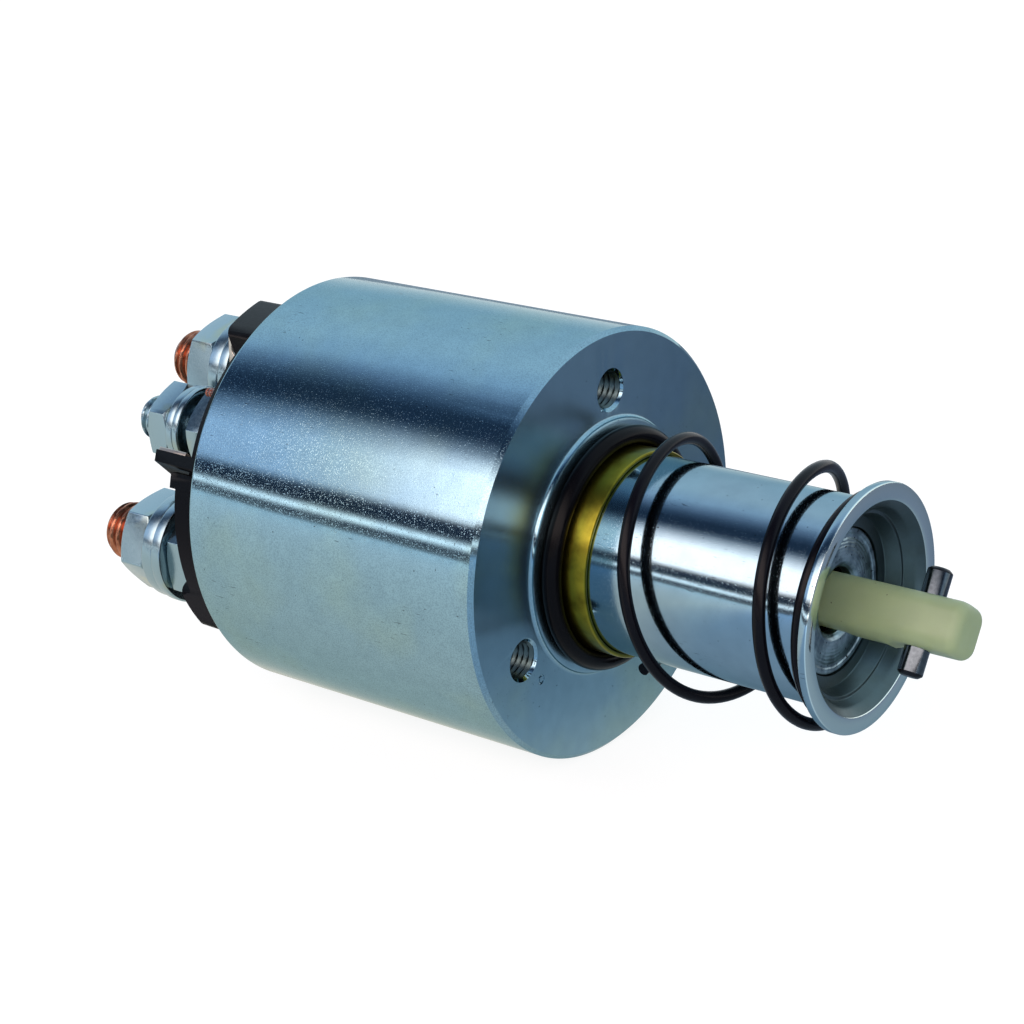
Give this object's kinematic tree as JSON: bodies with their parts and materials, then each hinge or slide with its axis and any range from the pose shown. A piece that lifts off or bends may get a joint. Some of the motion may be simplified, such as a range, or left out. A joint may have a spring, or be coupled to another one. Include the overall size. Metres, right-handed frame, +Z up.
{
  "type": "starter solenoid",
  "caption": "Starter motor solenoid: steel can with front tapped holes, spring-loaded plunger with a link and cross pin, and a rear cap with two copper studs and a smaller control stud.",
  "frame": {"origin": "centre of the front mounting face, on the plunger's axis", "axes": "+X out of the face along the plunger, +Z up with one tapped hole straight above the axis"},
  "size_m": [0.1229, 0.055, 0.055],
  "materials": {
    "zinc_steel": "blue-white zinc, satin",
    "brass": "smooth",
    "rubber": "smooth, slightly glossy",
    "bare_steel": "turned, satin",
    "nylon": "pale translucent nylon",
    "pin_steel": "ground and polished",
    "spring_steel": "black, glossy",
    "bobbin_plastic": "moulded",
    "enamelled_wire": "enamelled copper wire",
    "core_steel": "turned",
    "copper": "threaded copper",
    "cap_plastic": "moulded black",
    "tinned_strap": "tinned, satin",
    "zinc_fastener": "zinc plated"
  },
  "bodies": {
    "can": {"housing": "zinc_steel", "guide_sleeve": "brass", "front_seal": "rubber", "return_spring": "spring_steel", "meshing_spring": "spring_steel", "bobbin": "bobbin_plastic", "pull_in_winding": "enamelled_wire", "hold_in_winding": "enamelled_wire", "fixed_core": "core_steel", "contact_spring": "spring_steel", "contact_return_spring": "spring_steel", "cap_seal": "rubber", "terminal_cap": "cap_plastic", "motor_strap": "tinned_strap", "control_strap": "tinned_strap", "pull_in_lead": "enamelled_wire", "hold_in_lead": "enamelled_wire", "motor_stud": "copper", "motor_lower_nut": "zinc_fastener", "motor_flat_washer": "zinc_fastener", "motor_spring_washer": "zinc_fastener", "motor_upper_nut": "zinc_fastener", "battery_stud": "copper", "battery_lower_nut": "zinc_fastener", "battery_flat_washer": "zinc_fastener", "battery_spring_washer": "zinc_fastener", "battery_upper_nut": "zinc_fastener", "control_stud": "zinc_fastener", "control_lower_nut": "zinc_fastener", "control_flat_washer": "zinc_fastener", "control_spring_washer": "zinc_fastener", "control_upper_nut": "zinc_fastener"},
    "plunger": {"plunger": "bare_steel", "retaining_washer": "bare_steel"},
    "link": {"link": "nylon", "cross_pin": "pin_steel"},
    "rod": {"contact_rod": "core_steel", "rod_clip": "spring_steel"},
    "disc": {"contact_disc": "copper", "front_bush": "bobbin_plastic", "rear_bush": "bobbin_plastic"}
  },
  "joints": [
    {"name": "plunger_slide", "type": "slide", "parent": "can", "child": "plunger", "axis": [-1, 0, 0], "range_m": [0, 0.014], "stiffness_N_per_m": 900, "springref_m": -0.012, "deforming": ["return_spring"]},
    {"name": "link_slide", "type": "slide", "parent": "plunger", "child": "link", "axis": [1, 0, 0], "range_m": [0, 0.0065], "stiffness_N_per_m": 4000, "springref_m": -0.006, "deforming": ["meshing_spring"]},
    {"name": "contact_slide", "type": "slide", "parent": "can", "child": "rod", "axis": [-1, 0, 0], "range_m": [0, 0.003], "deforming": ["contact_return_spring"]},
    {"name": "disc_slide", "type": "slide", "parent": "rod", "child": "disc", "axis": [1, 0, 0], "range_m": [0, 0.0007], "deforming": ["contact_spring"]}
  ],
  "couplings": [
    {"joint": "contact_slide", "follows": "plunger_slide", "ratio": 0.21429},
    {"joint": "disc_slide", "follows": "plunger_slide", "ratio": 0.05}
  ]
}
